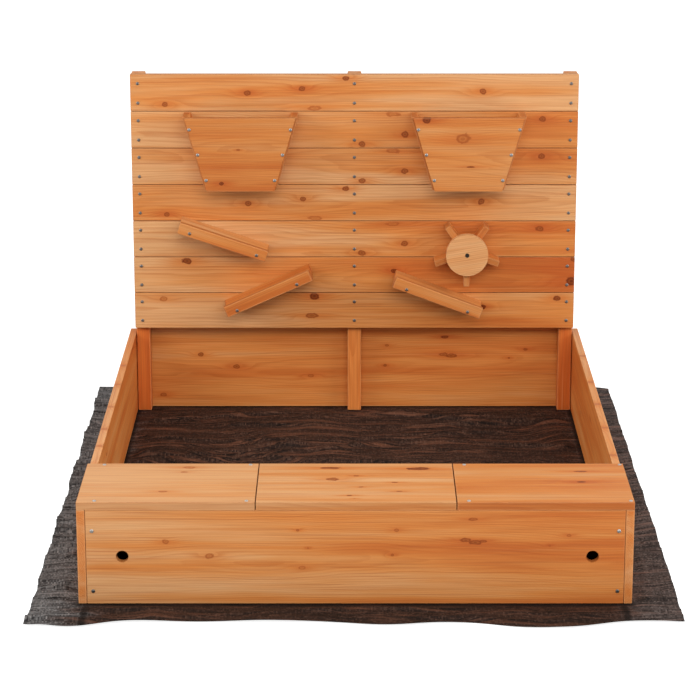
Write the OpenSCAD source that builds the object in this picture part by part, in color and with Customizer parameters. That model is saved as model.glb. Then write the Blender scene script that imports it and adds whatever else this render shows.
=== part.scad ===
// Wooden sandbox: a low box with a bench and a storage lid at the front, and an
// upright play wall at the back that carries two funnels, three sloping chutes
// and a turning sand wheel.  The box stands on a ground sheet.
// +X to the right, +Y to the back, +Z up.  The origin is on the ground, below
// the middle of the box.

/* [Box] */
// Outside width of the box, left to right
box_w = 1200; // [1150:10:1500]
// Outside depth of the box, front to back
box_d = 1485; // [1200:5:1800]
// Height of the box boards
box_h = 214; // [200:1:260]
// Thickness of every board
board_t = 18; // [17:1:20]
// Side of the square posts
post_s = 36; // [34:1:40]
// Gap between a corner post and the side board next to it
post_gap = 1.5; // [0.5:0.5:3]
// How far the back board rises above the side boards
back_rise = 30; // [25:1:40]
// Diameter of the two round holes in the front board
hole_d = 27.4; // [20:0.1:35]
// Distance of the left round hole from the middle
hole_left = 503; // [460:1:520]
// Distance of the right round hole from the middle
hole_right = 512; // [460:1:520]
// Height of the round holes above the foot of the front board
hole_z = 108.5; // [95:0.5:120]

/* [Bench] */
// Depth of the bench, front to back
bench_d = 267; // [240:1:320]
// Width of the lid in the middle of the bench
lid_w = 431; // [400:1:440]
// How far the lid sits to the right of the middle
lid_x = 1.5; // [0:0.5:4]
// Gap on either side of the lid
lid_gap = 2; // [1.5:0.5:3]

/* [Play wall] */
// Pitch of the wall boards, board plus gap
wall_pitch = 97.4; // [95:0.1:100]
// Gap between two wall boards
wall_gap = 1; // [0.5:0.5:3]
// Height of the lowest wall board above the box
wall_lift = 20; // [15:1:22]

/* [Funnels] */
// Distance of each funnel's middle from the middle of the wall
funnel_x = 295; // [285:1:305]
// Width of the front plate at the top
funnel_top = 288; // [280:1:296]
// Width of the front plate at the bottom
funnel_foot = 175; // [160:1:190]
// Height of the funnel
funnel_h = 192.5; // [180:0.5:200]
// How far the funnel stands out from the wall
funnel_out = 85; // [80:1:100]
// How far the side plates stand out beyond the front plate
funnel_lip = 5; // [4:0.5:8]

/* [Chutes] */
// Height of a chute's front strip
strip_h = 30; // [28:1:36]
// How far a chute stands out from the wall
chute_out = 85; // [75:1:100]

/* [Sand wheel] */
// Diameter of the round front disc
disc_d = 110; // [100:1:125]
// Distance of the paddle tips from the axle
paddle_r = 88; // [80:1:92]
// Thickness of a paddle
paddle_t = 15; // [12:1:16]
// Length of a paddle along the axle
paddle_w = 56; // [45:1:60]
// Diameter of the axle bolt
axle_d = 6; // [6:0.5:8]

/* [Ground sheet] */
// Thickness of the ground sheet
sheet_t = 2; // [1:0.5:3]
// Width of the ground sheet
sheet_w = 1420; // [1400:10:1800]
// How far the sheet shows in front of the box
sheet_front = 125; // [50:5:200]
// How far the sheet shows behind the box
sheet_back = 155; // [50:5:250]

/* [Fasteners] */
// Diameter of a wood screw's shank
screw_d = 4; // [3.5:0.5:4.5]
// Diameter of a wood screw's head
head_d = 8.4; // [7.5:0.1:9]

/* [Hidden] */
$fn = 32;

wood = [0.80, 0.47, 0.22];
wood_light = [0.86, 0.60, 0.36];
steel = [0.70, 0.70, 0.72];
sheet_colour = [0.27, 0.24, 0.22];

// Rotations that turn +Z, or a screw's head, to one side
TO_FRONT = [90, 0, 0];
TO_BACK = [-90, 0, 0];
TO_LEFT = [0, -90, 0];
TO_RIGHT = [0, 90, 0];
TO_GROUND = [180, 0, 0];

// Main planes
foot_z = sheet_t;                     // foot of the boards
box_top = foot_z + box_h;             // top edge of the box boards
seat_z = box_top + board_t;           // top of the bench
front_y = -box_d/2;                   // front of the box
back_y = box_d/2;                     // back of the box
bench_y = front_y + bench_d;          // back of the bench
post_y = back_y - board_t - post_s;   // front face of the wall posts
wall_y = post_y - board_t;            // front face of the wall boards
inner_x = box_w/2 - board_t;          // inner face of the right side board
post_x = inner_x - post_gap - post_s/2; // middle of an outer post
posts_x = [-post_x, 0, post_x];       // middles of the wall posts
end_gap = 0.6;                        // gap at the ends of the boards between the sides

cut = 1;                              // how far a cutter runs past a face

// ================= screws and shared shapes =================

screw_bore = screw_d + 0.4;
screw_len = 44;
short_screw_len = 41;                 // screws in the funnel plates and chute strips
bore_extra = 1;                       // how much deeper a bore is than its screw
tip_len = 4;
rim_h = 1;                            // straight lower part of the head
dome_h = 1.2;                         // tapering upper part of the head

// A box between two opposite corners.
module block(low, high) {
  translate(low) cube(high - low);
}

// A screw standing in its hole, head up, with a crosswise recess.
module screw(length = screw_len, shank = screw_d, head = head_d) {
  difference() {
    union() {
      cylinder(h = rim_h, d = head);
      translate([0, 0, rim_h]) cylinder(h = dome_h, d1 = head, d2 = head*0.62);
      translate([0, 0, tip_len - length]) cylinder(h = length - tip_len, d = shank);
      translate([0, 0, -length]) cylinder(h = tip_len, d1 = shank*0.3, d2 = shank);
    }
    for (turn = [20, 110])
      rotate([0, 0, turn])
        translate([-head*0.24, -head*0.055, rim_h])
          cube([head*0.48, head*0.11, 2]);
  }
}

// The cutter for the hole that a screw stands in.
module bore(depth = screw_len + bore_extra, width = screw_bore) {
  translate([0, 0, -depth - cut]) cylinder(h = depth + 2*cut, d = width);
}

// ================= box =================

// Front board screws, 567.5 from the middle where inner_x is 582
front_screw_x = 567.5*inner_x/582;
front_screw_z = [29.4, 166.9];        // above the foot
back_screw_z = [85, 130];             // above the foot
// Side board screws: [y, height above the foot]
side_screws = [
  [front_y + board_t + post_s/2, 60], [front_y + board_t + post_s/2, 135],
  [bench_y - board_t/2, 55], [bench_y - board_t/2, 150],
  [post_y + post_s/2, 55], [post_y + post_s/2, 160]];

// Each ..._places module puts its child at every screw of one group.
module front_places() {
  for (side = [-1, 1], z = front_screw_z)
    translate([side*front_screw_x, front_y, foot_z + z]) rotate(TO_FRONT) children();
}
module side_places() {
  for (side = [-1, 1], place = side_screws)
    translate([side*box_w/2, place[0], foot_z + place[1]])
      rotate(side < 0 ? TO_LEFT : TO_RIGHT)
        children();
}
module back_places() {
  for (x = posts_x, z = back_screw_z)
    translate([x, back_y, foot_z + z]) rotate(TO_BACK) children();
}

// A board that runs between the two side boards.
module cross_board(y, top = box_top) {
  block([-inner_x + end_gap, y, foot_z], [inner_x - end_gap, y + board_t, top]);
}

module side_board(side) color(wood) difference() {
  translate([side < 0 ? -box_w/2 : inner_x, front_y, foot_z]) cube([board_t, box_d, box_h]);
  side_places() bore();
  bench_places() bench_bore();
}
module front_board() color(wood) difference() {
  cross_board(front_y);
  front_places() bore();
  bench_places() bench_bore();
  for (x = [-hole_left, hole_right])
    translate([x, front_y - cut, foot_z + hole_z])
      rotate(TO_BACK)
        cylinder(h = board_t + 2*cut, d = hole_d, $fn = 64);
}
module back_board() color(wood) difference() {
  cross_board(back_y - board_t, box_top + back_rise);
  back_places() bore();
}
module front_corner_post(side) color(wood) difference() {
  translate([side*post_x - post_s/2, front_y + board_t, foot_z]) cube([post_s, post_s, box_h]);
  front_places() bore();
  side_places() bore();
}
module front_board_screws() color(steel) front_places() screw();
module side_board_screws() color(steel) side_places() screw();
module back_board_screws() color(steel) back_places() screw();

// ================= bench =================

lid_left = lid_x - lid_w/2;
lid_right = lid_x + lid_w/2;
bench_left_end = lid_left - lid_gap;      // inner end of the left bench top
bench_right_end = lid_right + lid_gap;    // inner end of the right bench top
bench_screw_x = [-box_w/2 + 39, bench_left_end - 18, bench_right_end + 25, box_w/2 - 8];
bench_screw_y = [front_y + 9, bench_y - 10];

batten_w = 40;
batten_len = 190;
batten_t = 18;
batten_y = front_y + 30;                  // front end of the battens
batten_x = [lid_left + 55, lid_right - 55];
batten_screw_y = [for (inset = [55, 125, 195]) front_y + inset];
batten_screw_len = 29;
lid_bore_depth = 12;                      // batten screw holes in the lid

module bench_places() {
  for (x = bench_screw_x, y = bench_screw_y)
    translate([x, y, seat_z]) children();
}
module bench_bore() {
  bore(50);
}
module batten_places() {
  for (x = batten_x, y = batten_screw_y)
    translate([x, y, box_top - batten_t]) rotate(TO_GROUND) children();
}

module bench_rear_board() color(wood) difference() {
  cross_board(bench_y - board_t);
  side_places() bore();
  bench_places() bench_bore();
  bench_leaf_places() bench_leaf_bore();
}
module bench_top(left, right) color(wood) difference() {
  block([left, front_y, box_top], [right, bench_y, seat_z]);
  bench_places() bench_bore();
}
module bench_top_screws() color(steel) bench_places() screw();

module storage_lid() color(wood) difference() {
  block([lid_left, front_y, box_top], [lid_right, bench_y, seat_z]);
  for (x = batten_x, y = batten_screw_y)
    translate([x, y, box_top - cut]) cylinder(h = lid_bore_depth + cut, d = screw_bore);
  lid_leaf_places() lid_leaf_bore();
}
module lid_batten(x) color(wood) difference() {
  translate([x - batten_w/2, batten_y, box_top - batten_t])
    cube([batten_w, batten_len, batten_t]);
  batten_places() bore(batten_screw_len + bore_extra);
}
module lid_batten_screws() color(steel) batten_places() screw(batten_screw_len);

// ================= lid hinges =================
// Each hinge has two outer knuckles on the bench leaf and one middle knuckle on
// the lid leaf, with a pin through all three.  Its frame has its origin at the
// middle of the hinge, on the back of the bench, level with the pin.

hinge_x = [lid_x - 140, lid_x + 140];
leaf_t = 1.5;
leaf_w = 60;
leaf_start = 4.2;                     // from the pin's level to a leaf's near edge
lid_leaf_h = 12.3;
bench_leaf_h = 21.8;
knuckle_r = 3.5;
knuckle_w = 20;                       // length of the middle knuckle
knuckle_gap = 0.4;
tab_h = 5;                            // plate that joins a knuckle to its leaf
pin_d = 3;
pin_bore = pin_d + 0.18;
pin_end = 1;                          // how far the pin shows at either end

leaf_screw_x = [-20, 20];
lid_leaf_screw_z = 9.5;
bench_leaf_screw_z = -16;
lid_leaf_screw_len = 21;
bench_leaf_screw_len = 15;
leaf_screw_d = 3;
leaf_head_d = 6;
leaf_screw_bore = 3.4;

module at_hinges() {
  for (x = hinge_x)
    translate([x, bench_y, box_top]) children();
}
// The two screws of one leaf, in the hinge's frame.
module leaf_row(z) {
  for (x = leaf_screw_x)
    translate([x, leaf_t, z]) rotate(TO_BACK) children();
}
module lid_leaf_places() {
  at_hinges() leaf_row(lid_leaf_screw_z) children();
}
module bench_leaf_places() {
  at_hinges() leaf_row(bench_leaf_screw_z) children();
}
module lid_leaf_bore() {
  bore(lid_leaf_screw_len + bore_extra, leaf_screw_bore);
}
module bench_leaf_bore() {
  bore(bench_leaf_screw_len, leaf_screw_bore);
}

// A rod along the pin's line, centred on the hinge.
module pin_rod(length, width) {
  translate([-length/2, knuckle_r, 0]) rotate(TO_RIGHT) cylinder(h = length, d = width);
}
module leaf_plate(z, height) {
  translate([-leaf_w/2, 0, z]) cube([leaf_w, leaf_t, height]);
}
// A knuckle with its tab; start is its left end.
module knuckle(start, length, tab_z) {
  translate([start, 0, tab_z]) cube([length, leaf_t, tab_h]);
  translate([start, knuckle_r, 0]) rotate(TO_RIGHT) cylinder(h = length, r = knuckle_r);
}

module lid_hinge_lid_leaves() color(steel) at_hinges() difference() {
  union() {
    leaf_plate(leaf_start, lid_leaf_h);
    knuckle(-knuckle_w/2, knuckle_w, 0);
  }
  pin_rod(leaf_w + 20, pin_bore);
  leaf_row(lid_leaf_screw_z) lid_leaf_bore();
}
module lid_hinge_bench_leaves() color(steel) at_hinges() difference() {
  outer_start = knuckle_w/2 + knuckle_gap;
  union() {
    leaf_plate(-leaf_start - bench_leaf_h, bench_leaf_h);
    for (start = [-leaf_w/2, outer_start])
      knuckle(start, leaf_w/2 - outer_start, -tab_h);
  }
  pin_rod(leaf_w + 20, pin_bore);
  leaf_row(bench_leaf_screw_z) bench_leaf_bore();
}
module lid_hinge_pins() color(steel) at_hinges() pin_rod(leaf_w + 2*pin_end, pin_d);
module lid_hinge_lid_screws() color(steel)
  lid_leaf_places() screw(lid_leaf_screw_len, leaf_screw_d, leaf_head_d);
module lid_hinge_bench_screws() color(steel)
  bench_leaf_places() screw(bench_leaf_screw_len, leaf_screw_d, leaf_head_d);

// ================= play wall =================

wall_count = 7;
wall_foot = box_top + wall_lift;      // foot of the lowest wall board
wall_board_h = wall_pitch - wall_gap;
wall_top = wall_foot + wall_count*wall_pitch - wall_gap;
// Two screw rows in each board, at these shares of its height
wall_screw_z = [for (i = [0:wall_count - 1], share = [0.22, 0.75])
  wall_foot + i*wall_pitch + share*wall_board_h];

module wall_places() {
  for (x = posts_x, z = wall_screw_z)
    translate([x, wall_y, z]) rotate(TO_FRONT) children();
}
// Screws from behind the wall into the funnel sides and the chute floors.
module rear_places() {
  for (side = [-1, 1], edge = [-1, 1], drop = funnel_rear_drops)
    translate([side*funnel_x + edge*(funnel_outer - side_level_t/2 - drop*funnel_slope),
               post_y, funnel_z - drop])
      rotate(TO_BACK)
        children();
  for (chute = chutes, x = chute_rear_x)
    chute_frame(chute)
      translate([x, post_y, floor_z + floor_rise + floor_level_t/2])
        rotate(TO_BACK)
          children();
}

module wall_post(x) color(wood) difference() {
  translate([x - post_s/2, post_y, foot_z]) cube([post_s, post_s, wall_top - foot_z]);
  wall_places() bore();
  back_places() bore();
  side_places() bore();
}
// Boards are numbered from the lowest, 1, upwards.
module wall_board(number) color(wood) difference() {
  translate([-inner_x, wall_y, wall_foot + (number - 1)*wall_pitch])
    cube([2*inner_x, board_t, wall_board_h]);
  wall_places() bore();
  rear_places() bore();
  axle_hole(wall_y, board_t);
}
module wall_screws() color(steel) wall_places() screw();
module wall_rear_screws() color(steel) rear_places() screw();

// ================= funnels =================

funnel_z = foot_z + 815.5;            // top edge of the funnels
funnel_slope = (funnel_top - funnel_foot)/2/funnel_h; // sideways run per unit of height
side_level_t = board_t/cos(atan(funnel_slope)); // level thickness of a slanting side plate
funnel_outer = funnel_top/2 + funnel_lip; // middle to the outside of a side plate, at the top
// Front plate screws: [distance from the funnel's middle, depth below its top]
funnel_front_screws = [[130.5, 30], [109.5, 96], [88.5, 163]];
funnel_rear_drops = [46, 146];        // rear screws, depth below the funnel's top

// side is the side of the wall (-1 left, 1 right), edge the side of the funnel.
module funnel_places(side) {
  for (edge = [-1, 1], place = funnel_front_screws)
    translate([side*funnel_x + edge*place[0], wall_y - funnel_out, funnel_z - place[1]])
      rotate(TO_FRONT)
        children();
}
module funnel_front_plate(side) color(wood_light) difference() {
  translate([side*funnel_x, wall_y - funnel_out + board_t, funnel_z])
    rotate(TO_FRONT)
      linear_extrude(height = board_t)
        polygon([[-funnel_top/2, 0], [-funnel_foot/2, -funnel_h],
                 [funnel_foot/2, -funnel_h], [funnel_top/2, 0]]);
  funnel_places(side) bore(short_screw_len + bore_extra);
}
module funnel_side(side, edge) color(wood) difference() {
  foot_outer = funnel_outer - funnel_h*funnel_slope;
  translate([side*funnel_x, wall_y, funnel_z])
    rotate(TO_FRONT)
      linear_extrude(height = funnel_out - board_t)
        polygon([[edge*funnel_outer, 0], [edge*foot_outer, -funnel_h],
                 [edge*(foot_outer - side_level_t), -funnel_h],
                 [edge*(funnel_outer - side_level_t), 0]]);
  funnel_places(side) bore(short_screw_len + bore_extra);
  rear_places() bore();
}
module funnel_screws() color(steel)
  for (side = [-1, 1])
    funnel_places(side) screw(short_screw_len);

// ================= chutes =================

// [x and z of the strip's middle, fall to the right in degrees, length,
//  x of the left and right strip screws, z of both], screws in the chute's frame
chutes = [
  [-342.8, foot_z + 487.7,  18.6, 240, -89, 94, -5],
  [-226.2, foot_z + 348.5, -24.2, 244, -92, 80, -7],
  [ 218.7, foot_z + 337.7,  20.6, 243, -85, 86, -7]];
chute_rear_x = [-75, 75];             // rear screws, along the chute
floor_level_t = board_t/cos(10);      // upright thickness of a chute floor
floor_z = -strip_h/2 - 2.3;           // underside of the floor at the strip
floor_rise = 13;                      // how much higher the floor is at the wall
floor_gap = 0.1;                      // gap between the floor and the wall

// The frame of a chute: X runs along it, Z is 0 at the middle of the strip.
module chute_frame(chute) {
  translate([chute[0], 0, chute[1]]) rotate([0, chute[2], 0]) children();
}
module chute_places(chute) {
  chute_frame(chute)
    for (x = [chute[4], chute[5]])
      translate([x, wall_y - chute_out, chute[6]]) rotate(TO_FRONT) children();
}
// The floor drops from the wall towards the strip, so that sand keeps to the strip.
module chute_floor(chute) color(wood) difference() {
  length = chute[3];
  strip_back = wall_y - chute_out + board_t;
  floor_back = wall_y - floor_gap;
  chute_frame(chute)
    translate([-length/2, 0, 0])
      rotate([90, 0, 90])
        linear_extrude(height = length)
          polygon([[strip_back, floor_z], [floor_back, floor_z + floor_rise],
                   [floor_back, floor_z + floor_rise + floor_level_t],
                   [strip_back, floor_z + floor_level_t]]);
  chute_places(chute) bore(short_screw_len + bore_extra);
  rear_places() bore();
}
module chute_strip(chute) color(wood_light) difference() {
  length = chute[3];
  chute_frame(chute)
    translate([-length/2, wall_y - chute_out, -strip_h/2])
      cube([length, board_t, strip_h]);
  chute_places(chute) bore(short_screw_len + bore_extra);
}
module chute_screws() color(steel)
  for (chute = chutes)
    chute_places(chute) screw(short_screw_len);

// ================= sand wheel =================

wheel_x = 294.4;
wheel_z = foot_z + 450.5;
wheel_play = 0.5;                     // gap between the wheel and its front washer
front_washer_t = 2;
rear_washer_t = 1.6;
washer_d = 18;
disc_back = wall_y - front_washer_t - wheel_play - paddle_w;
disc_front = disc_back - board_t;
hub_r = 22;
slot_r = 15;                          // distance of a paddle's inner end from the axle
axle_bore = axle_d + 0.2;             // running clearance
paddle_count = 5;

bolt_recess = 5;                      // depth of the recess in the disc's front
bolt_seat = disc_front + bolt_recess - 0.3; // back of the bolt head
bolt_end = post_y + 12;
bolt_overlap = 0.1;                   // how far the shank starts inside the head
bolt_head_h = 4;
socket_depth = 2.4;
nut_h = 6;

// Puts its child on the axle at y, with its +Z to the back.
module on_axle(y) {
  translate([wheel_x, y, wheel_z]) rotate(TO_BACK) children();
}
// The cutter for the axle's hole through a part that starts at y.
module axle_hole(y, thickness) {
  on_axle(y - cut) cylinder(h = thickness + 2*cut, d = axle_bore);
}
// A bar in a paddle's place, from slot_r outwards; overrun lengthens both its ends in y.
module paddle_bar(number, reach, overrun = 0) {
  translate([wheel_x, disc_back - overrun, wheel_z])
    rotate([0, 90 + (number - 1)*360/paddle_count, 0])
      translate([slot_r, 0, -paddle_t/2])
        cube([reach, paddle_w + 2*overrun, paddle_t]);
}
module washer(y, thickness) difference() {
  on_axle(y) cylinder(h = thickness, d = washer_d);
  axle_hole(y, thickness);
}

module wheel_paddle(number) color(wood) paddle_bar(number, paddle_r - slot_r);
module wheel_hub() color(wood) difference() {
  on_axle(disc_back) cylinder(h = paddle_w, r = hub_r, $fn = 64);
  axle_hole(disc_back, paddle_w);
  for (number = [1:paddle_count])
    paddle_bar(number, hub_r, cut);
}
module wheel_disc() color(wood_light) difference() {
  on_axle(disc_front) cylinder(h = board_t, d = disc_d, $fn = 96);
  axle_hole(disc_front, board_t);
  on_axle(disc_front - cut) cylinder(h = bolt_recess + cut, d = axle_d + 6);
}
module wheel_axle_bolt() color(steel) on_axle(bolt_seat) difference() {
  union() {
    translate([0, 0, -bolt_head_h]) cylinder(h = bolt_head_h, d = axle_d + 4.4);
    translate([0, 0, -bolt_overlap]) cylinder(h = bolt_end - bolt_seat, d = axle_d);
  }
  translate([0, 0, -bolt_head_h - cut]) cylinder(h = socket_depth + cut, d = 4.6, $fn = 6);
}
module wheel_washers() color(steel) {
  washer(wall_y - front_washer_t, front_washer_t);
  washer(post_y, rear_washer_t);
}
module wheel_axle_nut() color(steel) difference() {
  on_axle(post_y + rear_washer_t) cylinder(h = nut_h, d = 11.5*axle_d/6, $fn = 6);
  axle_hole(post_y + rear_washer_t, nut_h);
}

// ================= ground sheet =================

module ground_sheet() color(sheet_colour)
  block([-sheet_w/2, front_y - sheet_front, 0], [sheet_w/2, back_y + sheet_back, sheet_t]);

// ================= nodes =================

side_board(-1);  // side_board_left
side_board(1);  // side_board_right
front_board();
back_board();
front_corner_post(-1);  // front_corner_post_left
front_corner_post(1);  // front_corner_post_right
wall_post(-post_x);  // wall_post_left
wall_post(0);  // wall_post_centre
wall_post(post_x);  // wall_post_right
bench_rear_board();
bench_top(-box_w/2, bench_left_end);  // bench_top_left
bench_top(bench_right_end, box_w/2);  // bench_top_right
storage_lid();
lid_batten(batten_x[0]);  // lid_batten_left
lid_batten(batten_x[1]);  // lid_batten_right
lid_batten_screws();
lid_hinge_bench_leaves();
lid_hinge_lid_leaves();
lid_hinge_pins();
lid_hinge_bench_screws();
lid_hinge_lid_screws();
wall_board(1);  // wall_board_1
wall_board(2);  // wall_board_2
wall_board(3);  // wall_board_3
wall_board(4);  // wall_board_4
wall_board(5);  // wall_board_5
wall_board(6);  // wall_board_6
wall_board(7);  // wall_board_7
funnel_front_plate(-1);  // funnel_left_front_plate
funnel_side(-1, -1);  // funnel_left_outer_side
funnel_side(-1, 1);  // funnel_left_inner_side
funnel_front_plate(1);  // funnel_right_front_plate
funnel_side(1, -1);  // funnel_right_inner_side
funnel_side(1, 1);  // funnel_right_outer_side
chute_floor(chutes[0]);  // chute_upper_floor
chute_strip(chutes[0]);  // chute_upper_strip
chute_floor(chutes[1]);  // chute_lower_floor
chute_strip(chutes[1]);  // chute_lower_strip
chute_floor(chutes[2]);  // chute_right_floor
chute_strip(chutes[2]);  // chute_right_strip
wheel_disc();
wheel_hub();
wheel_paddle(1);  // wheel_paddle_1
wheel_paddle(2);  // wheel_paddle_2
wheel_paddle(3);  // wheel_paddle_3
wheel_paddle(4);  // wheel_paddle_4
wheel_paddle(5);  // wheel_paddle_5
wheel_axle_bolt();
wheel_axle_nut();
wheel_washers();
front_board_screws();
side_board_screws();
back_board_screws();
bench_top_screws();
wall_screws();
funnel_screws();
chute_screws();
wall_rear_screws();
ground_sheet();
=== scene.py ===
"""Looks for the wooden sandbox: stained softwood, zinc screws and a wrinkled woven ground sheet."""
import math
import random

import bmesh
import bpy
import numpy as np
from mathutils import Matrix, Vector, noise as mnoise


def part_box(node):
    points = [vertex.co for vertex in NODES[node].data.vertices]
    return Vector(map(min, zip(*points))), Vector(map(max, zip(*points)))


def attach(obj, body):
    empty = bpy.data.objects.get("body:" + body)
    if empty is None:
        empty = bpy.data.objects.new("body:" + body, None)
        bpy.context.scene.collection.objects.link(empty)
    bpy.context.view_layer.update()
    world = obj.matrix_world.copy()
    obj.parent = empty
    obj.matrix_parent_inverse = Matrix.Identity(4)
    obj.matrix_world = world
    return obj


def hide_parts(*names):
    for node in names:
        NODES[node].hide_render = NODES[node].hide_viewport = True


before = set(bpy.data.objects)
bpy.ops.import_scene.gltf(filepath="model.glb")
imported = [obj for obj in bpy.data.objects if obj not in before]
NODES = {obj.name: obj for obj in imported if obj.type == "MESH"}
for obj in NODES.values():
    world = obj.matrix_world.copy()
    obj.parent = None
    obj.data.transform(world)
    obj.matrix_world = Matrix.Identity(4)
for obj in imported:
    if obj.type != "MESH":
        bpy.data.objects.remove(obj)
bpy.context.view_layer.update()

scene = bpy.context.scene


# ------------------------------------------------------------------ node helpers
class Net:
    """Short calls for building a node tree."""

    def __init__(self, tree):
        self.t = tree
        self.n = tree.nodes
        self.l = tree.links

    def put(self, sock, value):
        if isinstance(value, bpy.types.NodeSocket):
            self.l.new(value, sock)
        elif value is not None:
            if hasattr(sock.default_value, "__len__") and not hasattr(value, "__len__"):
                value = [value] * len(sock.default_value)
            if hasattr(sock.default_value, "__len__") and len(sock.default_value) == 4 and len(value) == 3:
                value = list(value) + [1.0]
            sock.default_value = value

    def m(self, op, a, b=None, c=None, clamp=False):
        x = self.n.new("ShaderNodeMath")
        x.operation = op
        x.use_clamp = clamp
        self.put(x.inputs[0], a)
        if b is not None:
            self.put(x.inputs[1], b)
        if c is not None:
            self.put(x.inputs[2], c)
        return x.outputs[0]

    def add(self, a, b): return self.m("ADD", a, b)
    def sub(self, a, b): return self.m("SUBTRACT", a, b)
    def mul(self, a, b): return self.m("MULTIPLY", a, b)
    def div(self, a, b): return self.m("DIVIDE", a, b)
    def sq(self, a): return self.m("MULTIPLY", a, a)

    def v(self, op, a, b=None, scale=None):
        x = self.n.new("ShaderNodeVectorMath")
        x.operation = op
        self.put(x.inputs[0], a)
        if b is not None:
            self.put(x.inputs[1], b)
        if scale is not None:
            self.put(x.inputs["Scale"], scale)
        return x.outputs["Value"] if op in ("DOT_PRODUCT", "LENGTH", "DISTANCE") else x.outputs[0]

    def xyz(self, a, b, c):
        x = self.n.new("ShaderNodeCombineXYZ")
        for s, val in zip(x.inputs, (a, b, c)):
            self.put(s, val)
        return x.outputs[0]

    def split(self, a):
        x = self.n.new("ShaderNodeSeparateXYZ")
        self.put(x.inputs[0], a)
        return x.outputs

    def noise(self, vec, detail=2.0, rough=0.5, scale=1.0, dist=0.0, color=False):
        x = self.n.new("ShaderNodeTexNoise")
        x.noise_dimensions = "3D"
        self.put(x.inputs["Vector"], vec)
        self.put(x.inputs["Scale"], scale)
        self.put(x.inputs["Detail"], detail)
        self.put(x.inputs["Roughness"], rough)
        self.put(x.inputs["Distortion"], dist)
        return x.outputs["Color"] if color else x.outputs[0]

    def step(self, value, lo, hi, a=0.0, b=1.0):
        """Smooth step of value from lo to hi, giving a to b."""
        x = self.n.new("ShaderNodeMapRange")
        x.interpolation_type = "SMOOTHSTEP"
        self.put(x.inputs[0], value)
        for s, val in zip(x.inputs[1:5], (lo, hi, a, b)):
            self.put(s, val)
        return x.outputs[0]

    def line(self, value, lo, hi, a=0.0, b=1.0, clamp=True):
        x = self.n.new("ShaderNodeMapRange")
        x.clamp = clamp
        self.put(x.inputs[0], value)
        for s, val in zip(x.inputs[1:5], (lo, hi, a, b)):
            self.put(s, val)
        return x.outputs[0]

    def ramp(self, fac, stops, mode="LINEAR"):
        x = self.n.new("ShaderNodeValToRGB")
        x.color_ramp.interpolation = mode
        e = x.color_ramp.elements
        while len(e) < len(stops):
            e.new(0.5)
        for el, (p, c) in zip(e, stops):
            el.position = p
            el.color = (*c, 1.0)
        self.put(x.inputs[0], fac)
        return x.outputs[0]

    def mix(self, fac, a, b, mode="MIX"):
        x = self.n.new("ShaderNodeMix")
        x.data_type = "RGBA"
        x.blend_type = mode
        self.put(x.inputs[0], fac)
        self.put(x.inputs[6], a)
        self.put(x.inputs[7], b)
        return x.outputs[2]

    def bump(self, height, strength=1.0, distance=0.001, normal=None):
        x = self.n.new("ShaderNodeBump")
        self.put(x.inputs["Strength"], strength)
        self.put(x.inputs["Distance"], distance)
        self.put(x.inputs["Height"], height)
        if normal is not None:
            self.put(x.inputs["Normal"], normal)
        return x.outputs[0]

# ------------------------------------------------------------------ wood
def group(name, ins, outs):
    g = bpy.data.node_groups.new(name, "ShaderNodeTree")
    kinds = {"v": "NodeSocketVector", "f": "NodeSocketFloat", "c": "NodeSocketColor"}
    for label, kind in ins:
        g.interface.new_socket(label, in_out="INPUT", socket_type=kinds[kind])
    for label, kind in outs:
        g.interface.new_socket(label, in_out="OUTPUT", socket_type=kinds[kind])
    gi = g.nodes.new("NodeGroupInput")
    go = g.nodes.new("NodeGroupOutput")
    return g, Net(g), {s.name: s for s in gi.outputs if s.name}, go


def knot_group():
    """Adds one knot. K is (along, across, radius), Long stretches it along the grain and Dark is how dark it is."""
    g, k, i, go = group("knot_one", [("U", "f"), ("V", "f"), ("Wob", "f"), ("Near", "f"), ("Core", "f"), ("Tail", "f"),
                                     ("K", "v"), ("Long", "f"), ("Dark", "f")], [("Near", "f"), ("Core", "f"), ("Tail", "f")])
    ku, kv, kr = k.split(i["K"])
    du = k.sub(i["U"], ku)
    dv = k.sub(i["V"], kv)
    d = k.m("SQRT", k.add(k.sq(k.div(k.mul(du, 0.80), i["Long"])), k.sq(dv)))
    d = k.div(k.mul(d, i["Wob"]), kr)
    less = k.m("LESS_THAN", d, i["Near"])
    core = k.add(k.mul(i["Core"], k.sub(1.0, less)), k.mul(i["Dark"], less))
    e = k.div(k.add(k.sq(k.div(k.mul(du, 0.30), i["Long"])), k.sq(dv)), k.sq(k.mul(kr, 1.9)))
    tail = k.mul(k.m("EXPONENT", k.mul(e, -1.0)), k.add(k.mul(i["Dark"], 0.6), 0.4))
    for label, value in (("Near", k.m("MINIMUM", d, i["Near"])), ("Core", core), ("Tail", k.m("MAXIMUM", tail, i["Tail"]))):
        k.put(go.inputs[label], value)
    return g


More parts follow.
